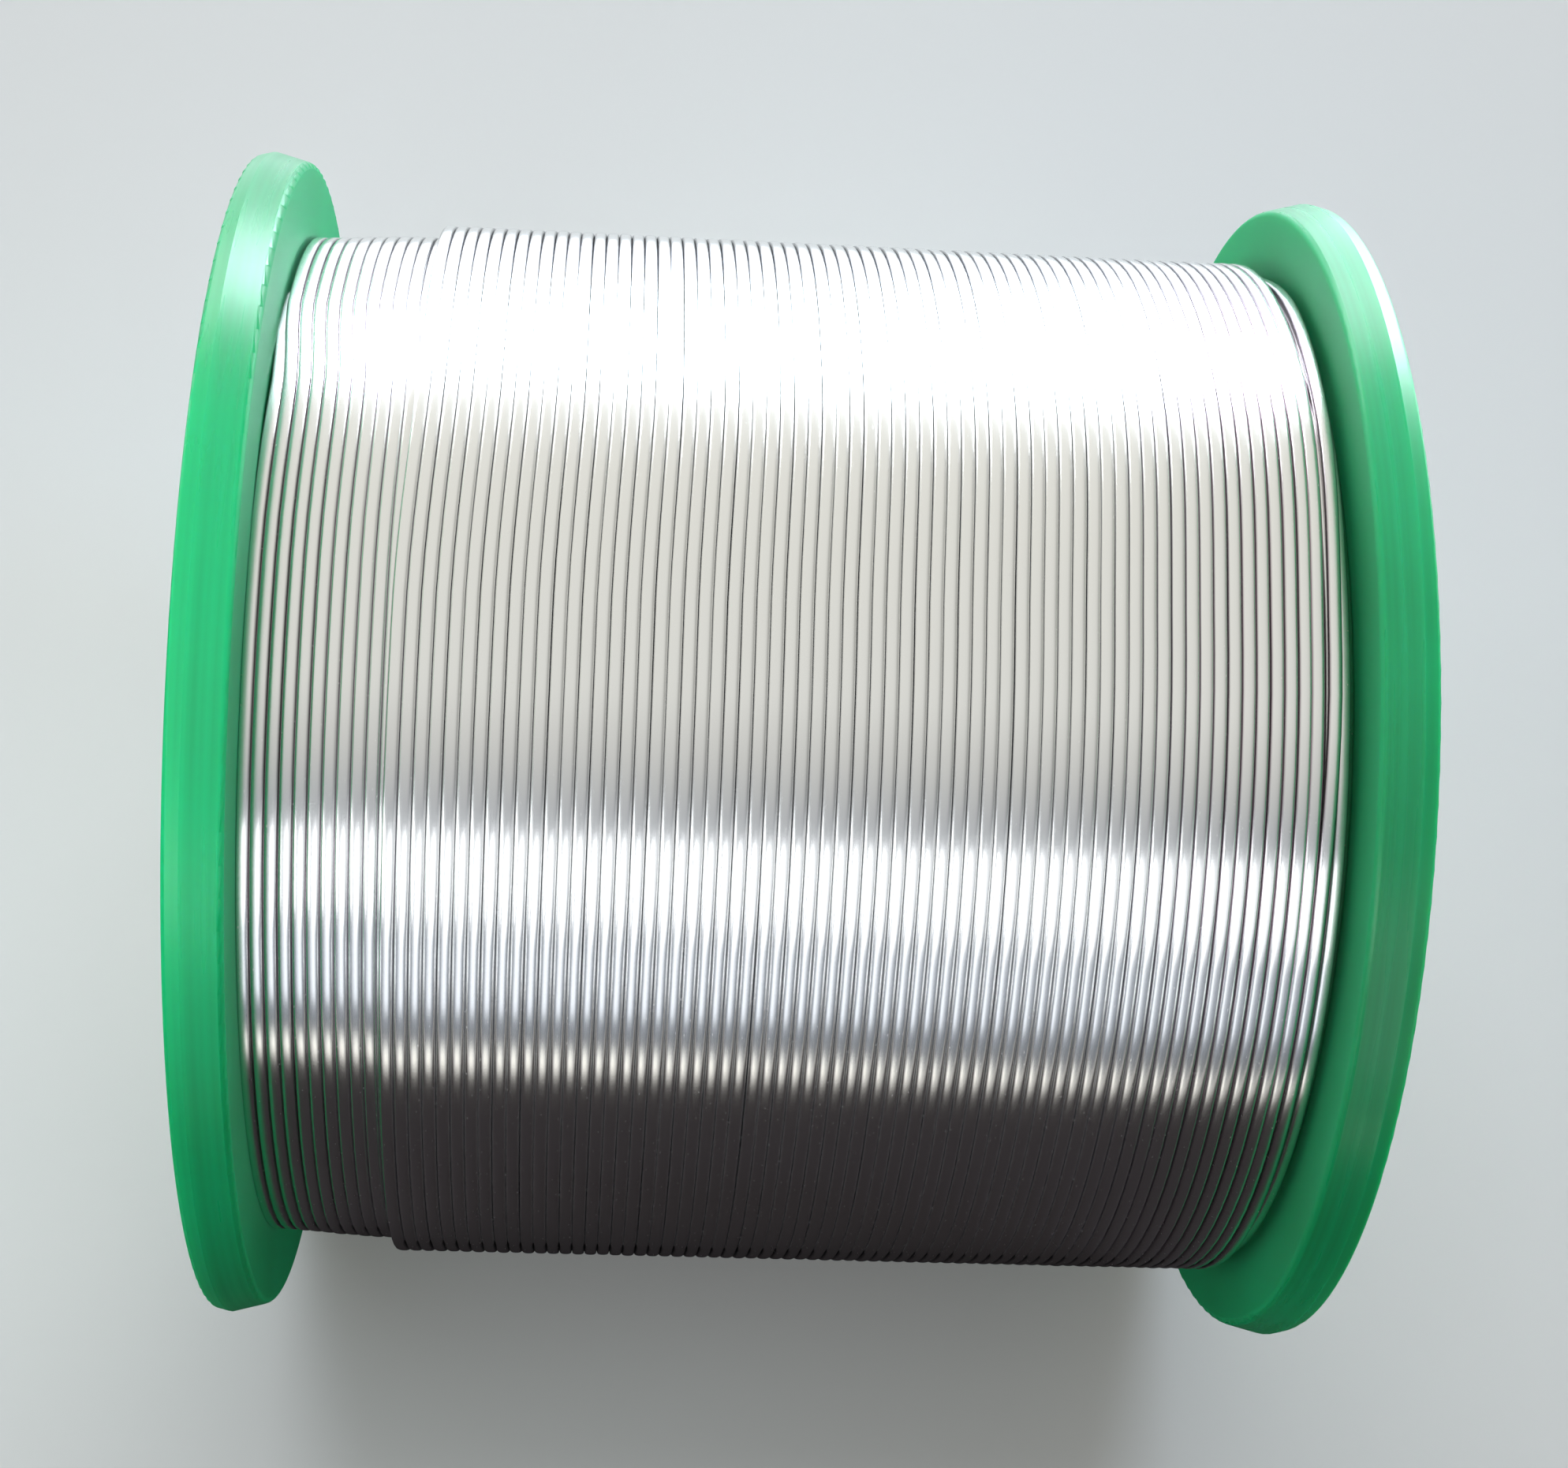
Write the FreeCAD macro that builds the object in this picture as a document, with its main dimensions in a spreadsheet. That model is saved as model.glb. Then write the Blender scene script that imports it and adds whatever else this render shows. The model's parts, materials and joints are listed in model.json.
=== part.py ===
import FreeCAD, Part
import math
import os
import Sketcher
from FreeCAD import Placement, Rotation, Vector

# Reel of solder wire: two moulded flanges whose sleeves meet inside, a winding tube on their spigots, the wire
# and a paper label in the recess of each outer face.
# The reel lies on the rims of its flanges: +X along its axis, +Z up, origin on the table below its middle.
# Each piece is drawn in its own frame, where Z is the reel's axis and z = 0 the plane halfway between the flanges.

# name, size in mm or degrees or a count, what it is
SIZES = [
    ("flange_radius", 38.0, "flange, to the crest of its rim"),
    ("inner_width", 62.5, "between the inner faces of the flanges"),
    ("rim_width", 3.3, "rim along the axis"),
    ("rim_band_width", 1.0, "bevelled band at the outer edge of the rim, along the axis"),
    ("rim_bevel", 0.25, "radius lost from the crest to the outer face"),
    ("rim_draft", 0.6, "radius lost from the crest to the inner face"),
    ("rim_outer_round", 0.35, "round on the rim's outer edge"),
    ("rim_inner_round", 0.45, "round on the rim's inner edge"),
    ("rim_land", 2.6, "flat ring of the rim's outer face"),
    ("recess_depth", 1.0, "recess of the outer face, between rim and hub ring"),
    ("recess_round", 0.3, "round on the mouth of the recess"),
    ("bore_radius", 11.0, "spindle hole"),
    ("bore_lead", 0.6, "chamfer at the mouth of the spindle hole"),
    ("hub_ring_width", 3.6, "raised ring round the spindle hole"),
    ("sleeve_wall", 1.8, "wall of the spindle sleeve"),
    ("nose_length", 8.0, "nose of one sleeve inside the socket of the other"),
    ("nose_clearance", 0.05, "nose in its socket, on the radius"),
    ("socket_end_gap", 0.3, "nose to the bottom of its socket"),
    ("barrel_radius", 17.5, "winding tube, outside"),
    ("barrel_wall", 1.6, "winding tube"),
    ("spigot_length", 5.0, "ring on a flange that carries the winding tube"),
    ("spigot_wall", 1.5, "ring on a flange that carries the winding tube"),
    ("spigot_lead", 0.4, "chamfer at the free edge of a spigot"),
    ("spigot_clearance", 0.03, "spigot in the winding tube, on the radius"),
    ("wire_diameter", 0.8, "solder wire"),
    ("winding_radius", 33.9, "outermost turns, outside"),
    ("winding_seat", 0.05, "inner layers round the winding tube, on the radius"),
    ("coil_loops", 23, "loops of the drawn outer turns, each for three or four of the wire's"),
    ("lower_loops", 3, "loops that lie one wire lower, beside the left flange"),
    ("coil_gap", 0.45, "between neighbouring loops"),
    ("coil_side_gap", 0.2, "first and last loop to the flanges"),
    ("coil_seat", 0.1, "loops to the inner layers, on the radius"),
    ("coil_start_angle", 110.0, "start of the loops, from straight down towards +Y"),
    ("start_hole_radius", 0.75, "hole in the winding tube that holds the wire's start"),
    ("start_hole_inset", 9.0, "start hole to the inner face of the left flange"),
    ("start_hook_bend", 0.8, "bend of the wire's start, on its centre line"),
    ("start_hook_length", 6.0, "wire's start inside the winding tube, after its bend"),
    ("start_hook_gap", 0.05, "wire's start to the inside of the winding tube"),
    ("label_thickness", 0.2, "paper label"),
    ("label_margin", 0.8, "label to the walls of its recess"),
]

SHEET = "Sizes"
TO_RIGHT = Rotation(Vector(0, 1, 0), 90)
TO_LEFT = Rotation(Vector(0, 1, 0), -90)

doc = FreeCAD.newDocument("solder_wire_spool")
sheet = doc.addObject("Spreadsheet::Sheet", SHEET)
for row, (alias, value, meaning) in enumerate(SIZES, start=1):
    sheet.set(f"A{row}", alias)
    sheet.set(f"B{row}", str(value))
    sheet.set(f"C{row}", meaning)
    sheet.setAlias(f"B{row}", alias)
doc.recompute()


def linked(expression):
    """The expression with each size's name pointing at the sheet."""
    words = expression.split()
    names = {alias for alias, value, meaning in SIZES}
    return " ".join(f"{SHEET}.{word}" if word in names else word for word in words)


def size(expression):
    """The number that an expression of sizes gives."""
    return float(sheet.evalExpression(linked(expression)))


def origin_plane(body, role):
    return next(feature for feature in body.Origin.OriginFeatures if feature.Role == role)


def new_sketch(body, name, role):
    sketch = body.newObject("Sketcher::SketchObject", name)
    sketch.AttachmentSupport = (origin_plane(body, role), [""])
    sketch.MapMode = "FlatFace"
    return sketch


def hold_point(sketch, index, end, name, across, along):
    """Ties one end of a line to its distances from the sketch's axes, each an expression of sizes."""
    for kind, axis, expression in (("DistanceX", "across", across), ("DistanceY", "along", along)):
        if expression == "0":
            sketch.addConstraint(Sketcher.Constraint("PointOnObject", index, end, -1 if axis == "along" else -2))
            continue
        number = sketch.addConstraint(Sketcher.Constraint(kind, -1, 1, index, end, size(expression)))
        sketch.renameConstraint(number, f"{name}_{axis}")
        sketch.setExpression(f"Constraints.{name}_{axis}", linked(expression))


def outline(sketch, corners):
    """A closed outline of straight lines through named corners (name, across, along)."""
    points = [Vector(size(across), size(along), 0) for name, across, along in corners]
    for index, point in enumerate(points):
        sketch.addGeometry(Part.LineSegment(point, points[(index + 1) % len(points)]), False)
    for index, (name, across, along) in enumerate(corners):
        following = (index + 1) % len(corners)
        sketch.addConstraint(Sketcher.Constraint("Coincident", index, 2, following, 1))
        hold_point(sketch, index, 1, name, across, along)


def place(piece, rotation):
    """Lays a piece's own axis along the reel's, at the height of the spindle hole."""
    piece.Placement = Placement(Vector(0, 0, size("flange_radius")), rotation)
    piece.setExpression("Placement.Base.z", linked("flange_radius"))


def turned_body(label, corners, rotation):
    """A body of revolution round its own Z axis, from corners of (name, radius, height)."""
    body = doc.addObject("PartDesign::Body", label)
    body.Label = label
    sketch = new_sketch(body, f"{label}_profile", "XZ_Plane")
    outline(sketch, corners)
    turn = body.newObject("PartDesign::Revolution", f"{label}_turn")
    turn.Profile = sketch
    turn.ReferenceAxis = (sketch, ["V_Axis"])
    turn.Angle = 360
    sketch.Visibility = False
    place(body, rotation)
    doc.recompute()
    return body


def ring_edges(shape, rings):
    """Names of the circular edges at the given (radius, height) expressions."""
    wanted = [(size(radius), size(height)) for radius, height in rings]
    names = []
    for index, edge in enumerate(shape.Edges, start=1):
        if not isinstance(edge.Curve, Part.Circle):
            continue
        centre = edge.Curve.Center
        for radius, height in wanted:
            if abs(edge.Curve.Radius - radius) < 1e-4 and abs(centre.z - height) < 1e-4:
                names.append(f"Edge{index}")
    if len(names) < len(wanted):
        raise RuntimeError(f"{len(names)} of {len(wanted)} ring edges found")
    return names


def soften(body, kind, name, measure, amount, rings):
    """A fillet or chamfer on ring edges of a body."""
    base = body.Tip
    feature = body.newObject(kind, name)
    feature.Base = (base, ring_edges(base.Shape, rings))
    feature.setExpression(measure, linked(amount))
    doc.recompute()
    return feature


INNER_FACE = "inner_width / 2"
OUTER_FACE = "inner_width / 2 + rim_width"
CREST = "inner_width / 2 + rim_width - rim_band_width"
RECESS_FLOOR = "inner_width / 2 + rim_width - recess_depth"
RECESS_RADIUS = "flange_radius - rim_bevel - rim_land"
HUB_RADIUS = "bore_radius + hub_ring_width"
SLEEVE_RADIUS = "bore_radius + sleeve_wall"
SOCKET_RADIUS = "bore_radius + sleeve_wall / 2"
SPIGOT_RADIUS = "barrel_radius - barrel_wall - spigot_clearance"
SPIGOT_INSIDE = SPIGOT_RADIUS + " - spigot_wall"
SPIGOT_END = "inner_width / 2 - spigot_length"
START_HOLE_HEIGHT = "start_hole_inset - inner_width / 2"
START_LEG = "barrel_radius - barrel_wall - start_hook_gap - wire_diameter / 2"
PITCH = "( inner_width - 2 * coil_side_gap + coil_gap ) / ( coil_loops + 1 )"
TUBE = f"( {PITCH} - coil_gap )"
UPPER_LINE = f"winding_radius - {TUBE} / 2"
LOWER_LINE = f"{UPPER_LINE} - wire_diameter"
FIRST_LOOP = f"coil_side_gap + {TUBE} / 2 - inner_width / 2"
UPPER_FLOOR = f"{UPPER_LINE} - {TUBE} / 2 - coil_seat"
LOWER_FLOOR = f"{LOWER_LINE} - {TUBE} / 2 - coil_seat"
STEP = f"{FIRST_LOOP} + {PITCH} * ( lower_loops + 0.5 ) + {TUBE} / 2 + coil_seat"


def flange(label, sleeve_end, rotation):
    """A flange with its half of the spindle sleeve, whose free end has the given corners."""
    disc = [
        ("bore_mouth", "bore_radius", OUTER_FACE),
        ("hub_edge", HUB_RADIUS, OUTER_FACE),
        ("hub_foot", HUB_RADIUS, RECESS_FLOOR),
        ("recess_foot", RECESS_RADIUS, RECESS_FLOOR),
        ("recess_mouth", RECESS_RADIUS, OUTER_FACE),
        ("rim_outer_edge", "flange_radius - rim_bevel", OUTER_FACE),
        ("rim_crest", "flange_radius", CREST),
        ("rim_inner_edge", "flange_radius - rim_draft", INNER_FACE),
        ("spigot_root", SPIGOT_RADIUS, INNER_FACE),
        ("spigot_tip", SPIGOT_RADIUS, SPIGOT_END),
        ("spigot_tip_inside", SPIGOT_INSIDE, SPIGOT_END),
        ("spigot_root_inside", SPIGOT_INSIDE, INNER_FACE),
        ("sleeve_root", SLEEVE_RADIUS, INNER_FACE),
    ]
    body = turned_body(label, disc + sleeve_end, rotation)
    soften(body, "PartDesign::Fillet", f"{label}_outer_round", "Radius", "rim_outer_round",
           [("flange_radius - rim_bevel", OUTER_FACE)])
    soften(body, "PartDesign::Fillet", f"{label}_inner_round", "Radius", "rim_inner_round",
           [("flange_radius - rim_draft", INNER_FACE)])
    soften(body, "PartDesign::Fillet", f"{label}_recess_round", "Radius", "recess_round",
           [(RECESS_RADIUS, OUTER_FACE), (HUB_RADIUS, OUTER_FACE)])
    soften(body, "PartDesign::Chamfer", f"{label}_bore_lead", "Size", "bore_lead", [("bore_radius", OUTER_FACE)])
    soften(body, "PartDesign::Chamfer", f"{label}_spigot_lead", "Size", "spigot_lead", [(SPIGOT_RADIUS, SPIGOT_END)])
    return body


def left_flange():
    """Its sleeve carries the nose, which reaches past the middle into the other sleeve."""
    nose_radius = SOCKET_RADIUS + " - nose_clearance"
    return flange("left_flange", [
        ("sleeve_end", SLEEVE_RADIUS, "0"),
        ("nose_shoulder", nose_radius, "0"),
        ("nose_tip", nose_radius, "0 - nose_length"),
        ("nose_tip_inside", "bore_radius", "0 - nose_length"),
    ], TO_LEFT)


def right_flange():
    """Its sleeve carries the socket for the nose."""
    socket_floor = "nose_length + socket_end_gap"
    return flange("right_flange", [
        ("sleeve_end", SLEEVE_RADIUS, "0"),
        ("socket_mouth", SOCKET_RADIUS, "0"),
        ("socket_floor_outer", SOCKET_RADIUS, socket_floor),
        ("socket_floor_inner", "bore_radius", socket_floor),
    ], TO_RIGHT)


def barrel():
    """The winding tube, with the hole that the wire starts through."""
    inside = "barrel_radius - barrel_wall"
    body = turned_body("barrel", [
        ("left_inside", inside, "0 - inner_width / 2"),
        ("left_outside", "barrel_radius", "0 - inner_width / 2"),
        ("right_outside", "barrel_radius", INNER_FACE),
        ("right_inside", inside, INNER_FACE),
    ], TO_RIGHT)
    before = body.Shape.Volume
    sketch = new_sketch(body, "start_hole_circle", "XZ_Plane")
    centre = Vector(0, size(START_HOLE_HEIGHT), 0)
    circle = sketch.addGeometry(Part.Circle(centre, Vector(0, 0, 1), size("start_hole_radius")), False)
    radius = sketch.addConstraint(Sketcher.Constraint("Radius", circle, size("start_hole_radius")))
    sketch.renameConstraint(radius, "radius")
    sketch.setExpression("Constraints.radius", linked("start_hole_radius"))
    hold_point(sketch, circle, 3, "centre", "0", START_HOLE_HEIGHT)
    hole = body.newObject("PartDesign::Pocket", "start_hole")
    hole.Profile = sketch
    hole.Type = "ThroughAll"
    sketch.Visibility = False
    doc.recompute()
    cut = before - body.Shape.Volume
    expected = math.pi * size("start_hole_radius") ** 2 * size("barrel_wall")
    if abs(cut - expected) > 0.2 * expected:
        raise RuntimeError(f"the start hole cuts {cut:.2f} mm3 instead of about {expected:.2f}")
    if not body.Shape.isInside(start_hole_point(-1), 1e-6, False):
        raise RuntimeError("the start hole goes through the wrong side")
    return body


def start_hole_point(side):
    """A point in the middle of the winding tube's wall, on the hole's line or opposite it."""
    local = Vector(0, side * size("barrel_radius - barrel_wall / 2"), size(START_HOLE_HEIGHT))
    return Placement(Vector(0, 0, size("flange_radius")), TO_RIGHT).multVec(local)


def wire_start():
    """The wire's first stretch: in through the start hole, then bent to lie along the inside of the tube."""
    body = doc.addObject("PartDesign::Body", "wire_start")
    body.Label = "wire_start"
    bend = size("start_hook_bend")
    height = size(START_HOLE_HEIGHT)
    outer = size("barrel_radius")
    leg = size(START_LEG)
    path = new_sketch(body, "start_hook_path", "YZ_Plane")
    corner_in = Vector(leg + bend, height, 0)
    corner_out = Vector(leg, height + bend, 0)
    middle = Vector(leg + bend, height + bend, 0) - Vector(bend, bend, 0) * math.sqrt(0.5)
    tip = Vector(leg, height + bend + size("start_hook_length"), 0)
    path.addGeometry(Part.LineSegment(Vector(outer, height, 0), corner_in), False)
    path.addGeometry(Part.Arc(corner_in, middle, corner_out), False)
    path.addGeometry(Part.LineSegment(corner_out, tip), False)
    path.addConstraint(Sketcher.Constraint("Coincident", 0, 2, 1, 2))
    path.addConstraint(Sketcher.Constraint("Coincident", 1, 1, 2, 1))
    hold_point(path, 0, 1, "outer_end", "barrel_radius", START_HOLE_HEIGHT)
    hold_point(path, 0, 2, "bend_start", START_LEG + " + start_hook_bend", START_HOLE_HEIGHT)
    hold_point(path, 2, 1, "bend_end", START_LEG, START_HOLE_HEIGHT + " + start_hook_bend")
    hold_point(path, 2, 2, "tip", START_LEG, START_HOLE_HEIGHT + " + start_hook_bend + start_hook_length")
    turn = path.addConstraint(Sketcher.Constraint("Radius", 1, bend))
    path.renameConstraint(turn, "bend")
    path.setExpression("Constraints.bend", linked("start_hook_bend"))
    section = new_sketch(body, "start_hook_section", "XZ_Plane")
    section.AttachmentOffset = Placement(Vector(0, 0, -outer), Rotation())
    section.setExpression("AttachmentOffset.Base.z", linked("0 - barrel_radius"))
    wire_radius = size("wire_diameter / 2")
    circle = section.addGeometry(Part.Circle(Vector(0, height, 0), Vector(0, 0, 1), wire_radius), False)
    radius = section.addConstraint(Sketcher.Constraint("Radius", circle, wire_radius))
    section.renameConstraint(radius, "radius")
    section.setExpression("Constraints.radius", linked("wire_diameter / 2"))
    hold_point(section, circle, 3, "centre", "0", START_HOLE_HEIGHT)
    doc.recompute()
    pipe = body.newObject("PartDesign::AdditivePipe", "start_hook")
    pipe.Profile = section
    pipe.Spine = (path, ["Edge1", "Edge2", "Edge3"])
    section.Visibility = False
    path.Visibility = False
    place(body, TO_RIGHT)
    doc.recompute()
    return body


class Turns:
    """Centre line of the outer turns, in the frame of the turned pieces."""

    def __init__(self):
        self.loops = int(size("coil_loops"))
        self.lower_loops = size("lower_loops")
        self.pitch = size(PITCH)
        self.tube = size(TUBE)
        self.first = size(FIRST_LOOP)
        self.upper = size(UPPER_LINE)
        self.lower = size(LOWER_LINE)
        self.start_angle = size("coil_start_angle")

    def radius(self, loop):
        """Radius of the centre line, which climbs one wire in the half loop after the lower loops."""
        return self.lower if loop <= self.lower_loops else self.upper

    def angle(self, loop):
        return math.radians(self.start_angle - 360 * loop)

    def point(self, loop):
        across = self.radius(loop) * math.cos(self.angle(loop))
        along = self.radius(loop) * math.sin(self.angle(loop))
        return Vector(across, along, self.first + self.pitch * loop)

    def direction(self, loop):
        girth = 2 * math.pi * self.radius(loop)
        across = girth * math.sin(self.angle(loop))
        along = -girth * math.cos(self.angle(loop))
        return Vector(across, along, self.pitch).normalize()


def tangent_arc(start, corner, end):
    """The arc from start to end that touches both sides of their corner, which are equally long."""
    turn = (corner - start).getAngle(end - corner)
    share = math.cos(turn / 2) / (1 + math.cos(turn / 2))
    chord_middle = (start + end) * 0.5
    return Part.Arc(start, chord_middle + (corner - chord_middle) * share, end).toShape()


def biarc(start, leaving, end, arriving):
    """Two arcs that join, from start along one direction to end along another."""
    span = end - start
    both = leaving + arriving
    square = both.dot(both) - 4
    linear = -2 * span.dot(both)
    reach = (-linear - math.sqrt(linear ** 2 - 4 * square * span.dot(span))) / (2 * square)
    first_corner = start + leaving * reach
    last_corner = end - arriving * reach
    joint = (first_corner + last_corner) * 0.5
    return [tangent_arc(start, first_corner, joint), tangent_arc(joint, last_corner, end)]


def least_gap(edges, tube):
    """Least distance between the tube and itself, from points every few degrees, a half loop or more apart."""
    arcs_per_loop = 4
    points_per_arc = 12
    points = []
    for edge in edges:
        points.extend(edge.discretize(points_per_arc + 1)[:-1])
    apart = arcs_per_loop * points_per_arc // 2
    reach = 2 * arcs_per_loop * points_per_arc
    least = float("inf")
    for index, point in enumerate(points):
        for other in points[index + apart:index + reach]:
            least = min(least, point.distanceToPoint(other))
    return least - tube


def wire_outer_turns():
    """The outermost turns as one tube, whose first loops lie one wire lower, beside the left flange."""
    turns = Turns()
    edges = []
    for half in range(2 * turns.loops):
        start = half / 2
        end = start + 0.5
        edges += biarc(turns.point(start), turns.direction(start), turns.point(end), turns.direction(end))
    gap = least_gap(edges, turns.tube)
    first, leaving = turns.point(0), turns.direction(0)
    last, arriving = turns.point(turns.loops), turns.direction(turns.loops)
    lead = Part.LineSegment(first - leaving * turns.tube, first).toShape()
    tail = Part.LineSegment(last, last + arriving * turns.tube).toShape()
    path = Part.Wire([lead] + edges + [tail])
    section = Part.Wire(Part.Circle(first - leaving * turns.tube, leaving, turns.tube / 2).toShape())
    tube = path.makePipeShell([section], True, False)
    area = math.pi * turns.tube ** 2 / 4
    print(f"outer turns: tube {turns.tube:.3f} mm, pitch {turns.pitch:.3f} mm, least gap {gap:.3f} mm")
    print(f"outer turns: volume {tube.Volume:.1f} mm3, section times length {area * path.Length:.1f} mm3")
    if gap <= 0.4:
        raise RuntimeError("the loops lie too close")
    piece = doc.addObject("Part::Feature", "wire_outer_turns")
    piece.Label = "wire_outer_turns"
    piece.Shape = tube
    place(piece, TO_RIGHT)
    return piece


def wire_inner_layers():
    """All the layers under the outer turns, as one solid with the step of the outer turns."""
    return turned_body("wire_inner_layers", [
        ("left_inside", "barrel_radius + winding_seat", "0 - inner_width / 2"),
        ("left_outside", LOWER_FLOOR, "0 - inner_width / 2"),
        ("step_foot", LOWER_FLOOR, STEP),
        ("step_top", UPPER_FLOOR, STEP),
        ("right_outside", UPPER_FLOOR, INNER_FACE),
        ("right_inside", "barrel_radius + winding_seat", INNER_FACE),
    ], TO_RIGHT)


def label_ring(label, rotation):
    """A paper ring glued to the floor of a flange's recess."""
    inside = HUB_RADIUS + " + label_margin"
    outside = RECESS_RADIUS + " - label_margin"
    face = RECESS_FLOOR + " + label_thickness"
    return turned_body(label, [
        ("glued_inside", inside, RECESS_FLOOR),
        ("glued_outside", outside, RECESS_FLOOR),
        ("face_outside", outside, face),
        ("face_inside", inside, face),
    ], rotation)


pieces = [
    left_flange(),
    right_flange(),
    barrel(),
    wire_start(),
    wire_inner_layers(),
    wire_outer_turns(),
    label_ring("left_label", TO_LEFT),
    label_ring("right_label", TO_RIGHT),
]
doc.recompute()

for item in doc.Objects:
    if {"Invalid", "Error"} & set(item.State):
        raise RuntimeError(f"{item.Label} failed: {item.State}")

os.makedirs("parts", exist_ok=True)
for piece in pieces:
    shape = piece.Shape
    if shape.isNull() or not shape.isValid() or len(shape.Solids) != 1:
        raise RuntimeError(f"{piece.Label} isn't one valid solid")
    shape.exportStep(f"parts/{piece.Label}.step")
    print(f"{piece.Label}: {shape.Volume / 1000:.3f} cm3")
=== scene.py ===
"""Dresses the solder wire spool: moulded flanges and barrel, wound wire, paper labels and a small studio.

The spool lies on its rims with its axis along X, the step of its winding at the left (-X) end. Lengths are
in metres, and a name that ends in _mm is in millimetres. Places round the spool are given by the height
angle: 0 faces the front (-Y), a quarter turn faces up and a half turn faces the rear (+Y).
"""

import json
import logging
import math
from dataclasses import dataclass
from enum import Enum

import bpy
import numpy as np
from mathutils import Matrix, Vector

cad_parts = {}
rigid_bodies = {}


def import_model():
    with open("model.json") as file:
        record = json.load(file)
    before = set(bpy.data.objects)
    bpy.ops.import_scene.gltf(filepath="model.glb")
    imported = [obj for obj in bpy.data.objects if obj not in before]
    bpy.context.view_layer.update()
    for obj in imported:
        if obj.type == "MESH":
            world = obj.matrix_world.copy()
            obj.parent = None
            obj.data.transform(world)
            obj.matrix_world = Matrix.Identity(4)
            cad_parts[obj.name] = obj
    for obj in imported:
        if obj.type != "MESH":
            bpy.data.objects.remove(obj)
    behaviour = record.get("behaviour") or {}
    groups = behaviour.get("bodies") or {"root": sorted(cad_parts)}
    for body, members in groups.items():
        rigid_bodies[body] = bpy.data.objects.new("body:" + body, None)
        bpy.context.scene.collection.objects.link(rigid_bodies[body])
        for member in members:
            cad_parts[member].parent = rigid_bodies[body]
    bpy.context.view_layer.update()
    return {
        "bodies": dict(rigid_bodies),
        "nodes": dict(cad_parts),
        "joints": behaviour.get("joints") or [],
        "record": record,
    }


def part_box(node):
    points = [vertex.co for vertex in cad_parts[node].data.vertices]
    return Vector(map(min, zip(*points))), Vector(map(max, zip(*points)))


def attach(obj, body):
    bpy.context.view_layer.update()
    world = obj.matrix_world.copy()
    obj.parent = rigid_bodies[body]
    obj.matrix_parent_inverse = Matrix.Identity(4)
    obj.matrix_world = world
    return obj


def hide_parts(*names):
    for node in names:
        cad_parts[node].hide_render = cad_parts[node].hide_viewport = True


MM = 0.001
BODY = "root"
FLANK_MAP = "flank"
BACKDROP_COLOUR = "#dedbd6"
SMOOTH_ANGLE = math.radians(50)

log = logging.getLogger("spool")


def linear(hex_colour: str) -> tuple[float, float, float, float]:
    """Turns an sRGB hex colour to linear.

    Args:
        hex_colour: Six hex digits after a hash sign.

    Returns:
        Red, green, blue and an alpha of 1.
    """
    values = []
    for place in (1, 3, 5):
        share = int(hex_colour[place:place + 2], 16) / 255
        values.append(share / 12.92 if share <= 0.04045 else ((share + 0.055) / 1.055) ** 2.4)
    return (*values, 1.0)


def add_node(tree: bpy.types.NodeTree, kind: str, inputs: dict | None = None, **settings: object) -> bpy.types.Node:
    """Adds a node with its settings, input values and links.

    Args:
        tree: The node tree of a material or the world.
        kind: The node's type name.
        inputs: For each input, by name or place, a value or the output socket that feeds it.
        settings: Attributes of the node itself.

    Returns:
        The new node.
    """
    node = tree.nodes.new(kind)
    for name, value in settings.items():
        setattr(node, name, value)
    for key, value in (inputs or {}).items():
        if isinstance(value, bpy.types.NodeSocket):
            tree.links.new(value, node.inputs[key])
        else:
            node.inputs[key].default_value = value
    return node


def set_ramp(node: bpy.types.Node, stops: list[tuple[float, tuple]]) -> None:
    """Sets the stops of a colour ramp.

    Args:
        node: The colour ramp node.
        stops: Place and colour of each stop, in order.
    """
    elements = node.color_ramp.elements
    while len(elements) < len(stops):
        elements.new(1.0)
    for element, (place, colour) in zip(elements, stops):
        element.position = place
        element.color = colour


def new_material(name: str) -> tuple[bpy.types.Material, bpy.types.NodeTree, bpy.types.Node]:
    """Makes a material with an empty tree and its output node.

    Args:
        name: The material's name.

    Returns:
        The material, its node tree and the output node.
    """
    material = bpy.data.materials.new(name)
    material.use_nodes = True
    material.node_tree.nodes.clear()
    return material, material.node_tree, add_node(material.node_tree, "ShaderNodeOutputMaterial")


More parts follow.
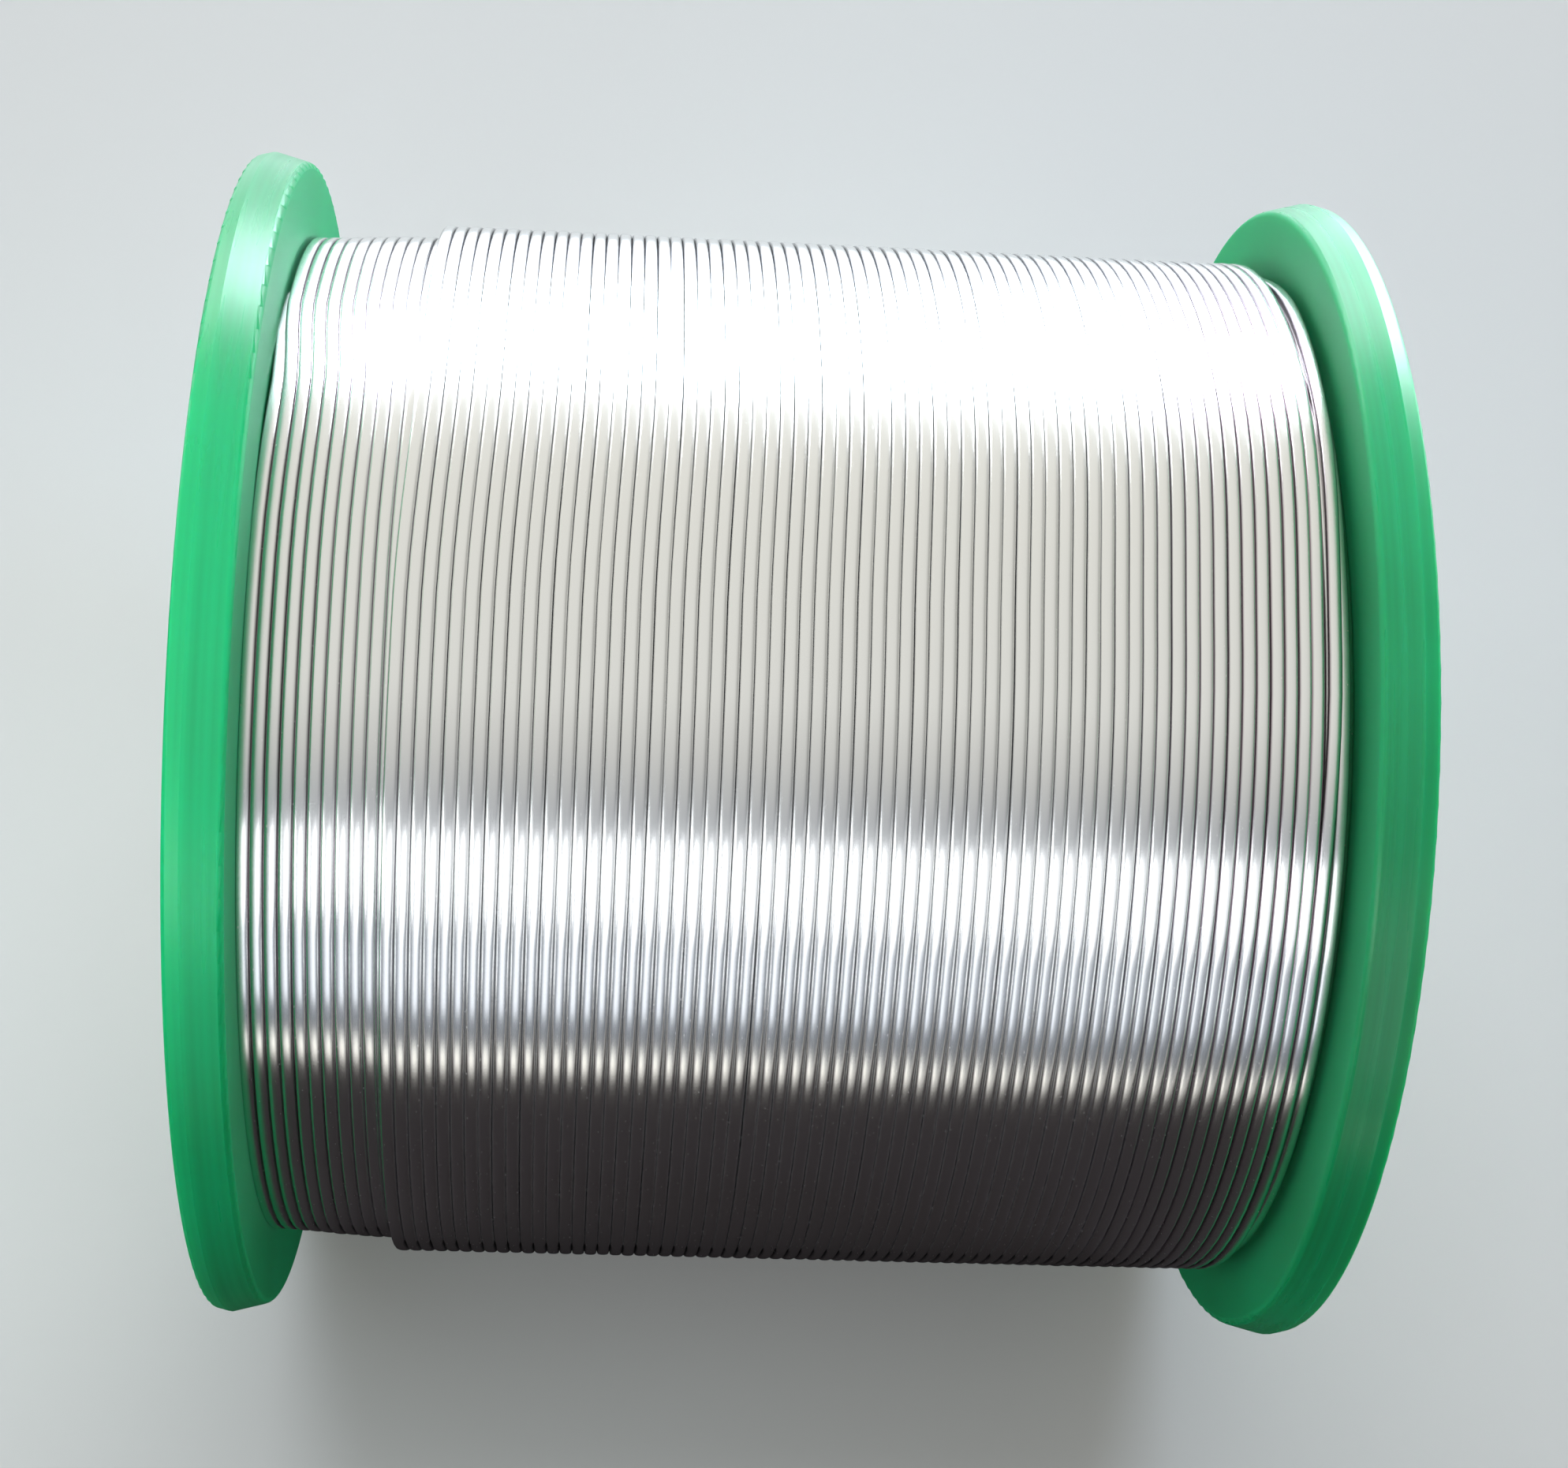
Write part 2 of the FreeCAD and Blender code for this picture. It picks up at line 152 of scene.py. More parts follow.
@dataclass(frozen=True)
class MouldedPolypropylene:
    """Injection moulded polypropylene: satin gloss, and light goes a millimetre or two into it, which lifts
    the colour of thin edges. The mould's turned wall leaves faint rings round the rim, stronger in patches, and
    the faces beside the winding are left duller."""

    face_x: float
    name: str = "moulded_polypropylene"
    colour: str = "#12b26e"
    ring_colour: str = "#0b9c5c"
    roughness: float = 0.3
    inner_roughness: float = 0.6
    roughness_spread: float = 0.05
    gloss: float = 0.47
    ring_width_mm: float = 0.8
    ring_height_mm: float = 0.009
    ring_relief: float = 0.4
    ring_span: tuple[float, float] = (0.1, 0.4)
    patch_mm: float = 12.0
    dull_edge_mm: tuple[float, float] = (0.05, 0.3)
    translucency: float = 0.8
    scatter_depth_mm: float = 1.6

    def material(self) -> bpy.types.Material:
        """Builds the material."""
        material, tree, output = new_material(self.name)
        place = add_node(tree, "ShaderNodeTexCoord")
        parts = add_node(tree, "ShaderNodeSeparateXYZ", {"Vector": place.outputs["Object"]})
        rings = add_node(
            tree, "ShaderNodeTexNoise",
            {"W": parts.outputs["X"], "Scale": 1 / (self.ring_width_mm * MM), "Detail": 2.0, "Roughness": 0.5},
            noise_dimensions="1D",
        )
        patches = add_node(
            tree, "ShaderNodeTexNoise",
            {"Vector": place.outputs["Object"], "Scale": 1 / (self.patch_mm * MM), "Detail": 1.0},
        )
        share = add_node(
            tree, "ShaderNodeMath", {0: rings.outputs["Fac"], 1: patches.outputs["Fac"]}, operation="MULTIPLY"
        )
        tint = add_node(
            tree, "ShaderNodeMapRange",
            {"Value": share.outputs["Value"], "From Min": self.ring_span[0], "From Max": self.ring_span[1]},
        )
        colour = add_node(
            tree, "ShaderNodeMix",
            {"Factor": tint.outputs["Result"], "A": linear(self.colour), "B": linear(self.ring_colour)},
            data_type="RGBA",
        )
        satin = add_node(
            tree, "ShaderNodeMapRange",
            {"Value": share.outputs["Value"], "From Min": self.ring_span[0], "From Max": self.ring_span[1],
             "To Min": self.roughness - self.roughness_spread, "To Max": self.roughness + self.roughness_spread},
        )
        beside = add_node(tree, "ShaderNodeMath", {0: parts.outputs["X"]}, operation="ABSOLUTE")
        inner = add_node(
            tree, "ShaderNodeMapRange",
            {"Value": beside.outputs["Value"], "From Min": self.face_x + self.dull_edge_mm[0] * MM,
             "From Max": self.face_x + self.dull_edge_mm[1] * MM, "To Min": self.inner_roughness, "To Max": 0.0},
        )
        duller = add_node(
            tree, "ShaderNodeMath", {0: satin.outputs["Result"], 1: inner.outputs["Result"]}, operation="MAXIMUM"
        )
        relief = add_node(
            tree, "ShaderNodeBump",
            {"Height": rings.outputs["Fac"], "Strength": self.ring_relief, "Distance": self.ring_height_mm * MM},
        )
        shader = add_node(
            tree, "ShaderNodeBsdfPrincipled",
            {
                "Base Color": colour.outputs["Result"],
                "Roughness": duller.outputs["Value"],
                "IOR": 1.49,
                "Specular IOR Level": self.gloss,
                "Subsurface Weight": self.translucency,
                "Subsurface Radius": (0.4, 1.0, 0.7),
                "Subsurface Scale": self.scatter_depth_mm * MM,
                "Normal": relief.outputs["Normal"],
            },
        )
        tree.links.new(shader.outputs["BSDF"], output.inputs["Surface"])
        return material


@dataclass(frozen=True)
class DrawnSolder:
    """Tin alloy drawn through a die: bright, and nearly a mirror along the wire but duller across it, with fine
    grain that is stretched along the wire and breaks a highlight into specks. The flanks between the turns carry
    painted shade, where neighbouring turns shade each other: a thin light grey line in the middle, wider and
    darker beside the flanges, most at the right one, and near black behind, at the top rear, as a painted dark
    reflection. The grain is drawn coarser than the real one so that it shows."""

    axis_height: float
    wound_radius: float
    name: str = "drawn_solder"
    colour: str = "#f0f0ee"
    # Painted shade between the turns: light grey in the middle, greyer towards the flanges, near black behind as a
    # painted dark reflection.
    shade_colour: str = "#dcdde0"
    side_shade_colour: str = "#bab0b5"
    rear_shade_colour: str = "#242330"
    shade_span: tuple[float, float] = (0.86, 0.99)
    wide_shade_span: tuple[float, float] = (0.58, 0.88)
    light_shade_x: float = -2 * MM
    light_shade_reach: float = 17 * MM
    side_shade_reach: float = 30 * MM
    rear_shade_degrees: tuple[float, float] = (56, 36)
    roughness: float = 0.22
    speck_roughness: float = 0.3
    speck_span: tuple[float, float] = (0.7, 0.8)
    draw_lines: float = 0.8
    grain_mm: float = 0.09
    grain_stretch: float = 5.0
    grain_height_mm: float = 0.003
    grain_relief: float = 0.05

    def material(self) -> bpy.types.Material:
        """Builds the material."""
        material, tree, output = new_material(self.name)
        place = add_node(tree, "ShaderNodeTexCoord")
        parts = add_node(tree, "ShaderNodeSeparateXYZ", {"Vector": place.outputs["Object"]})
        height = add_node(
            tree, "ShaderNodeMath", {0: parts.outputs["Z"], 1: self.axis_height}, operation="SUBTRACT"
        )
        turned = add_node(
            tree, "ShaderNodeMath", {0: height.outputs["Value"], 1: parts.outputs["Y"]}, operation="ARCTAN2"
        )
        run = add_node(
            tree, "ShaderNodeMath",
            {0: turned.outputs["Value"], 1: self.wound_radius / self.grain_stretch}, operation="MULTIPLY",
        )
        laid = add_node(tree, "ShaderNodeCombineXYZ", {"X": parts.outputs["X"], "Y": run.outputs["Value"]})
        grain = add_node(
            tree, "ShaderNodeTexNoise",
            {"Vector": laid.outputs["Vector"], "Scale": 1 / (self.grain_mm * MM), "Detail": 1.0},
        )
        relief = add_node(
            tree, "ShaderNodeBump",
            {"Height": grain.outputs["Fac"], "Strength": self.grain_relief, "Distance": self.grain_height_mm * MM},
        )
        along = add_node(tree, "ShaderNodeTangent", direction_type="RADIAL", axis="X")
        flank = add_node(tree, "ShaderNodeUVMap", uv_map=FLANK_MAP)
        flank_parts = add_node(tree, "ShaderNodeSeparateXYZ", {"Vector": flank.outputs["UV"]})
        off_middle = add_node(
            tree, "ShaderNodeMath", {0: parts.outputs["X"], 1: self.light_shade_x}, operation="SUBTRACT"
        )
        aside = add_node(tree, "ShaderNodeMath", {0: off_middle.outputs["Value"]}, operation="ABSOLUTE")
        beside = add_node(
            tree, "ShaderNodeMapRange",
            {"Value": aside.outputs["Value"], "From Min": self.light_shade_reach, "From Max": self.side_shade_reach},
            interpolation_type="SMOOTHSTEP",
        )
        rear_start, rear_end = (math.radians(turn) for turn in self.rear_shade_degrees)
        behind = add_node(
            tree, "ShaderNodeMapRange",
            {"Value": turned.outputs["Value"], "From Min": rear_start, "From Max": rear_end},
            interpolation_type="SMOOTHSTEP",
        )
        # Painted shade: the darkened band of each flank grows towards the flanges and at the top rear.
        darker = add_node(
            tree, "ShaderNodeMath", {0: beside.outputs["Result"], 1: behind.outputs["Result"]}, operation="MAXIMUM"
        )
        edges = [
            add_node(tree, "ShaderNodeMapRange", {"Value": darker.outputs["Value"], "To Min": narrow, "To Max": wide})
            for narrow, wide in zip(self.shade_span, self.wide_shade_span)
        ]
        gap_shade = add_node(
            tree, "ShaderNodeMapRange",
            {"Value": flank_parts.outputs["X"], "From Min": edges[0].outputs["Result"],
             "From Max": edges[1].outputs["Result"]},
            interpolation_type="SMOOTHSTEP",
        )
        side_tint = add_node(
            tree, "ShaderNodeMix",
            {"Factor": beside.outputs["Result"], "A": linear(self.shade_colour), "B": linear(self.side_shade_colour)},
            data_type="RGBA",
        )
        # Painted dark reflection: at the top rear the gaps between the turns go near black.
        shade_tint = add_node(
            tree, "ShaderNodeMix",
            {"Factor": behind.outputs["Result"], "A": side_tint.outputs["Result"],
             "B": linear(self.rear_shade_colour)},
            data_type="RGBA",
        )
        colour = add_node(
            tree, "ShaderNodeMix",
            {"Factor": gap_shade.outputs["Result"], "A": linear(self.colour), "B": shade_tint.outputs["Result"]},
            data_type="RGBA",
        )
        specks = add_node(
            tree, "ShaderNodeMapRange",
            {"Value": grain.outputs["Fac"], "From Min": self.speck_span[0], "From Max": self.speck_span[1],
             "To Min": self.roughness, "To Max": self.speck_roughness},
        )
        shader = add_node(
            tree, "ShaderNodeBsdfPrincipled",
            {
                "Base Color": colour.outputs["Result"],
                "Metallic": 1.0,
                "Roughness": specks.outputs["Result"],
                "Anisotropic": self.draw_lines,
                "Anisotropic Rotation": 0.25,
                "Tangent": along.outputs["Tangent"],
                "Normal": relief.outputs["Normal"],
            },
        )
        tree.links.new(shader.outputs["BSDF"], output.inputs["Surface"])
        return material


@dataclass(frozen=True)
class CoatedPaper:
    """White label paper with a thin coat: even, bright and only slightly glossy, with a faint fibre."""

    name: str = "coated_paper"
    colour: str = "#f1f0ea"
    fibre_colour: str = "#e6e4dc"
    roughness: float = 0.5
    fibre_mm: float = 0.25

    def material(self) -> bpy.types.Material:
        """Builds the material."""
        material, tree, output = new_material(self.name)
        place = add_node(tree, "ShaderNodeTexCoord")
        fibre = add_node(
            tree, "ShaderNodeTexNoise",
            {"Vector": place.outputs["Object"], "Scale": 1 / (self.fibre_mm * MM), "Detail": 3.0},
        )
        tint = add_node(
            tree, "ShaderNodeMix",
            {"Factor": fibre.outputs["Fac"], "A": linear(self.colour), "B": linear(self.fibre_colour)},
            data_type="RGBA",
        )
        shader = add_node(
            tree, "ShaderNodeBsdfPrincipled",
            {"Base Color": tint.outputs["Result"], "Roughness": self.roughness},
        )
        tree.links.new(shader.outputs["BSDF"], output.inputs["Surface"])
        return material


@dataclass(frozen=True)
class MattBoard:
    """A matt painted board: one even colour and no gloss at all."""

    name: str
    colour: str
    roughness: float = 0.9

    def material(self) -> bpy.types.Material:
        """Builds the material."""
        material, tree, output = new_material(self.name)
        shader = add_node(
            tree, "ShaderNodeBsdfPrincipled",
            {"Base Color": linear(self.colour), "Roughness": self.roughness, "Specular IOR Level": 0.0},
        )
        tree.links.new(shader.outputs["BSDF"], output.inputs["Surface"])
        return material


@dataclass(frozen=True)
class SeamlessFloor:
    """A matt painted floor that runs into the backdrop without an edge: near the spool it takes the spool's
    shadow, and further off the camera and whatever mirrors it see the backdrop's colour."""

    name: str = "painted_floor"
    colour: str = "#dad7d2"
    far_colour: str = BACKDROP_COLOUR
    roughness: float = 0.9
    fade_start: float = 0.13
    fade_end: float = 0.34

    def material(self) -> bpy.types.Material:
        """Builds the material."""
        material, tree, output = new_material(self.name)
        place = add_node(tree, "ShaderNodeTexCoord")
        away = add_node(tree, "ShaderNodeVectorMath", {0: place.outputs["Object"]}, operation="LENGTH")
        far = add_node(
            tree, "ShaderNodeMapRange",
            {"Value": away.outputs["Value"], "From Min": self.fade_start, "From Max": self.fade_end},
            interpolation_type="SMOOTHSTEP",
        )
        ray = add_node(tree, "ShaderNodeLightPath")
        shown = ray.outputs["Is Camera Ray"]
        for mirrored in ("Is Glossy Ray", "Is Transmission Ray"):
            either = add_node(tree, "ShaderNodeMath", {0: shown, 1: ray.outputs[mirrored]}, operation="MAXIMUM")
            shown = either.outputs["Value"]
        share = add_node(tree, "ShaderNodeMath", {0: far.outputs["Result"], 1: shown}, operation="MULTIPLY")
        paint = add_node(
            tree, "ShaderNodeBsdfPrincipled",
            {"Base Color": linear(self.colour), "Roughness": self.roughness, "Specular IOR Level": 0.0},
        )
        glow = add_node(tree, "ShaderNodeEmission", {"Color": linear(self.far_colour), "Strength": 1.0})
        surface = add_node(
            tree, "ShaderNodeMixShader",
            {0: share.outputs["Value"], 1: paint.outputs["BSDF"], 2: glow.outputs["Emission"]},
        )
        tree.links.new(surface.outputs["Shader"], output.inputs["Surface"])
        return material


def dress(piece: bpy.types.Object, material: bpy.types.Material) -> None:
    """Gives a piece one material.

    Args:
        piece: The mesh object.
        material: What it is made of.
    """
    piece.data.materials.clear()
    piece.data.materials.append(material)
    log.info("%s: dressed in %s", piece.name, material.name)


def select_only(piece: bpy.types.Object) -> None:
    """Selects one object alone and makes it active."""
    bpy.ops.object.select_all(action="DESELECT")
    piece.select_set(True)
    bpy.context.view_layer.objects.active = piece


def settle(piece: bpy.types.Object, slot: str, material: bpy.types.Material, *nodes: str) -> None:
    """Finishes a new piece: its place goes into its mesh, and it rides on the spool in place of CAD nodes.

    Args:
        piece: The new piece.
        slot: The record's material slot; it is not used.
        material: What the piece is made of.
        nodes: The CAD nodes that it stands for.
    """
    select_only(piece)
    bpy.ops.object.transform_apply(location=True, rotation=True, scale=True)
    dress(piece, material)
    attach(piece, BODY)
    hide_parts(*nodes)
    piece.data.calc_loop_triangles()
    log.info("%s: %d triangles", piece.name, len(piece.data.loop_triangles))


class Hand(Enum):
    """Which way the turns of a layer step as the wire goes from the front over the top."""

    TOWARDS_RIGHT = 1
    TOWARDS_LEFT = -1


def ease(way: np.ndarray) -> np.ndarray:
    """Gives a smooth step from 0 to 1 for a way that is clipped to that range."""
    way = np.clip(way, 0, 1)
    return way * way * (3 - 2 * way)


@dataclass(frozen=True)
class Crossover:
    """A stretch round the spool where each turn steps over to its next place.

    The start and end are height angles in degrees, and share is the part of the pitch that it steps here.
    """

    start: float
    end: float
    share: float

    def stepped(self, degrees: np.ndarray) -> np.ndarray:
        """Gives the part of the pitch that a turn has stepped here.

        Args:
            degrees: Height angles from 0 to 360.

        Returns:
            That part for each angle.
        """
        return self.share * ease((degrees - self.start) / (self.end - self.start))


@dataclass(frozen=True)
class Stray:
    """A place where a wire lies off its regular lay: sideways to the right, and outwards."""

    turn: int
    degrees: float
    side: float
    rise: float


@dataclass(frozen=True)
class WireSection:
    """The outline of the soft wire where it is wound tight: its back is pressed flatter than a round wire's and
    its flanks are steep, so each turn shows as a ribbon with a narrow gap beside it."""

    half_width: float = 0.41 * MM
    back_height: float = 0.3 * MM
    belly_height: float = 0.5 * MM
    squareness: float = 3.0
    back: tuple[float, ...] = (-1.0, -0.9, -0.75, -0.55, -0.3, 0.0, 0.3, 0.55, 0.75, 0.9, 1.0)
    belly: tuple[float, ...] = (0.75, 0.0, -0.75)

    def points(self) -> tuple[np.ndarray, np.ndarray]:
        """Gives the outline, from the left flank over the back to the right flank and below back to the left.

        Returns:
            How far each point lies to the right and outwards.
        """
        across = np.array(self.back + self.belly)
        height = (1 - np.abs(across) ** self.squareness) ** (1 / self.squareness)
        height[:len(self.back)] *= self.back_height
        height[len(self.back):] *= -self.belly_height
        return across * self.half_width, height

    def flank_share(self) -> np.ndarray:
        """Gives how far each point lies down the flank: 0 in the middle of the back, 1 from the flank on."""
        across, height = self.points()
        return np.where(height > 0, np.abs(across) / self.half_width, 1.0)


@dataclass
class WireLayer:
    """One layer of turns that lie side by side.

    Turn 0 starts at height angle 0, and known_x is the wire's place along the axis at known_x_degrees, which
    are counted on from turn to turn.
    """

    name: str
    hand: Hand
    crossovers: tuple[Crossover, ...]
    first_degrees: float
    last_degrees: float
    known_x: float
    known_x_degrees: float
    outer_radius: float
    axis_height: float
    pitch: float
    strays: tuple[Stray, ...] = ()
    taper: float = 0.0
    taper_start: float = 0.0
    taper_end: float = 1.0
    section: WireSection = WireSection()
    wander: float = 0.008 * MM
    wander_step: float = 35.0
    steps_per_turn: int = 96
    seed: int = 1

    def regular_x(self, degrees: np.ndarray) -> np.ndarray:
        """Gives the regular place along the spool's axis of the wire's centre line.

        Args:
            degrees: Height angles, counted on from turn to turn.

        Returns:
            The x of each point.
        """
        def travel(angle: np.ndarray) -> np.ndarray:
            """Counts the places that the wire has stepped over up to an angle."""
            turn = np.floor(angle / 360)
            return turn + sum(crossover.stepped(angle - 360 * turn) for crossover in self.crossovers)

        steps = travel(degrees) - travel(np.array([self.known_x_degrees]))
        return self.known_x + steps * self.pitch * self.hand.value

    def stray_offsets(self, degrees: np.ndarray) -> tuple[np.ndarray, np.ndarray]:
        """Gives how far the wire lies off its regular lay.

        Args:
            degrees: Height angles, counted on from turn to turn.

        Returns:
            The way to the right and the way outwards of each point.
        """
        side = np.zeros(len(degrees))
        rise = np.zeros(len(degrees))
        for one, two in zip(self.strays, self.strays[1:]):
            start = 360 * one.turn + one.degrees
            end = 360 * two.turn + two.degrees
            inside = (degrees >= start) & (degrees <= end)
            way = ease((degrees[inside] - start) / (end - start))
            side[inside] = one.side + (two.side - one.side) * way
            rise[inside] = one.rise + (two.rise - one.rise) * way
        return side, rise

    def wandering(self, degrees: np.ndarray, draw: np.random.Generator) -> np.ndarray:
        """Gives a small smooth random offset along the wire, as a machine leaves.

        Args:
            degrees: Height angles, counted on from turn to turn.
            draw: The layer's own seeded random numbers.

        Returns:
            An offset for each point.
        """
        knots = np.arange(degrees[0], degrees[-1] + 2 * self.wander_step, self.wander_step)
        values = draw.normal(0.0, self.wander, len(knots))
        place = (degrees - degrees[0]) / self.wander_step
        low = np.floor(place).astype(int)
        return values[low] + (values[low + 1] - values[low]) * ease(place - low)

    def build(self) -> bpy.types.Object:
        """Makes the layer's wire from a circle that is screwed round the axis and then laid turn by turn.

        Returns:
            The wire, closed at both ends.
        """
        turns = (self.last_degrees - self.first_degrees) / 360
        steps = round(turns * self.steps_per_turn)
        sides = len(self.section.flank_share())
        bpy.ops.object.select_all(action="DESELECT")
        bpy.ops.mesh.primitive_circle_add(
            vertices=sides, radius=self.section.half_width, location=(0, 0, self.axis_height)
        )
        wire = bpy.context.object
        wire.name = self.name
        bpy.ops.object.mode_set(mode="EDIT")
        bpy.ops.mesh.select_all(action="SELECT")
        bpy.ops.transform.translate(value=(0, -self.outer_radius, 0))
        bpy.ops.object.mode_set(mode="OBJECT")
        screw = wire.modifiers.new("wind", "SCREW")
        screw.axis = "X"
        screw.angle = turns * math.tau
        screw.steps = steps
        screw.render_steps = steps
        screw.screw_offset = self.pitch * turns
        screw.use_merge_vertices = False
        bpy.ops.object.modifier_apply(modifier=screw.name)
        self.lay(wire, steps + 1)
        bpy.ops.object.mode_set(mode="EDIT")
        bpy.ops.mesh.select_all(action="SELECT")
        bpy.ops.mesh.fill_holes(sides=sides)
        bpy.ops.mesh.select_all(action="SELECT")
        bpy.ops.mesh.normals_make_consistent(inside=False)
        bpy.ops.object.mode_set(mode="OBJECT")
        bpy.ops.object.shade_smooth_by_angle(angle=SMOOTH_ANGLE)
        self.map_flanks(wire)
        return wire

    def lay(self, wire: bpy.types.Object, rings: int) -> None:
        """Moves every ring of the wire to its place on the spool.

        Args:
            wire: The screwed wire.
            rings: The number of rings along it.
        """
        across, height = self.section.points()
        if len(wire.data.vertices) != rings * len(across):
            raise ValueError(f"{self.name} has {len(wire.data.vertices)} points, not {rings} rings")
        degrees = np.linspace(self.first_degrees, self.last_degrees, rings)
        draw = np.random.default_rng(self.seed)
        side, rise = self.stray_offsets(degrees)
        x = self.regular_x(degrees) + side + self.wandering(degrees, draw)
        radius = self.outer_radius - self.section.back_height + rise + self.wandering(degrees, draw)
        radius = radius - self.taper * ease((x - self.taper_start) / (self.taper_end - self.taper_start))
        angle = np.radians(degrees)
        reach = radius[:, None] + height[None, :]
        places = np.empty((rings, len(across), 3))
        places[:, :, 0] = x[:, None] + across[None, :]
        places[:, :, 1] = -reach * np.cos(angle)[:, None]
        places[:, :, 2] = reach * np.sin(angle)[:, None]
        wire.data.vertices.foreach_set("co", places.ravel())
        wire.data.update()

    def map_flanks(self, wire: bpy.types.Object) -> None:
        """Writes into a UV map how far each corner lies down the wire's flank, for the painted shade between turns.

        Args:
            wire: The finished wire.
        """
        share = self.section.flank_share()
        corners = np.empty(len(wire.data.loops), dtype=np.int32)
        wire.data.loops.foreach_get("vertex_index", corners)
        places = np.zeros((len(corners), 2), dtype=np.float32)
        places[:, 0] = share[corners % len(share)]
        wire.data.uv_layers.new(name=FLANK_MAP).uv.foreach_set("vector", places.ravel())


@dataclass
class WoundCore:
    """The hidden layers on the barrel, as one turned solid.

    Its ends have the rounds of every layer's last turn, which lie half a pitch further in on every second
    layer, and its outside has a groove between each two turns.
    """

    name: str
    axis_height: float
    inner_radius: float
    outer_radius: float
    left_x: float
    right_x: float
    wire_radius: float = 0.4 * MM
    taper: float = 0.35 * MM
    taper_length: float = 7.0 * MM
    round_degrees: tuple[float, ...] = (70, 35, 0, -35, -70)
    groove_depth: float = 0.6
    groove_shape: tuple[float, ...] = (0.0, 0.13, 1.0, 0.13)
    layers: int = 21
    steps: int = 72

    def end_rounds(self, end_x: float, inwards: int, outer_radius: float) -> list[tuple[float, float]]:
        """Gives the profile of one end, from the outermost layer to the barrel.

        Args:
            end_x: Where the end is.
            inwards: 1 where the winding lies to the right of this end, or else -1.
            outer_radius: The winding's radius there.

        Returns:
            The x and radius of each point.
        """
        spacing = (outer_radius - self.inner_radius) / self.layers
        edge = math.sin(math.radians(self.round_degrees[0]))
        points = []
        for layer in range(self.layers):
            middle = outer_radius - spacing * (layer + 0.5)
            set_back = self.wire_radius * (1 + layer % 2)
            for turn in self.round_degrees:
                bulge = self.wire_radius * math.cos(math.radians(turn))
                points.append((
                    end_x + inwards * (set_back - bulge),
                    middle + spacing / 2 * math.sin(math.radians(turn)) / edge,
                ))
        return points

    def outside(self) -> list[tuple[float, float]]:
        """Gives the profile of the outside, from the left to the right.

        Returns:
            The x and radius of each point.
        """
        turns = round((self.right_x - self.left_x) / (2 * self.wire_radius))
        pitch = (self.right_x - self.left_x) / turns
        points = []
        for place in range(1, 4 * turns):
            x = self.left_x + pitch * place / 4
            groove = self.wire_radius * self.groove_shape[(place + 2) % 4] * self.groove_depth
            drop = self.taper * (1 - float(ease(np.array((x - self.left_x) / self.taper_length))))
            points.append((x, self.outer_radius - drop - groove))
        return points

    def build(self) -> bpy.types.Object:
        """Makes the solid: a closed outline that is turned once round the axis.

        Returns:
            The core.
        """
        left = self.end_rounds(self.left_x, 1, self.outer_radius - self.taper)
        right = self.end_rounds(self.right_x, -1, self.outer_radius)
        outline = self.outside() + right + left[::-1]
        bpy.ops.object.select_all(action="DESELECT")
        bpy.ops.mesh.primitive_circle_add(vertices=len(outline), radius=1, location=(0, 0, self.axis_height))
        core = bpy.context.object
        core.name = self.name
        for vertex, (x, radius) in zip(core.data.vertices, outline):
            vertex.co = (x, -radius, 0)
        turning = core.modifiers.new("turn", "SCREW")
        turning.axis = "X"
        turning.steps = self.steps
        turning.render_steps = self.steps
        bpy.ops.object.modifier_apply(modifier=turning.name)
        bpy.ops.object.mode_set(mode="EDIT")
        bpy.ops.mesh.select_all(action="SELECT")
        bpy.ops.mesh.normals_make_consistent(inside=False)
        bpy.ops.object.mode_set(mode="OBJECT")
        bpy.ops.object.shade_smooth_by_angle(angle=SMOOTH_ANGLE)
        return core


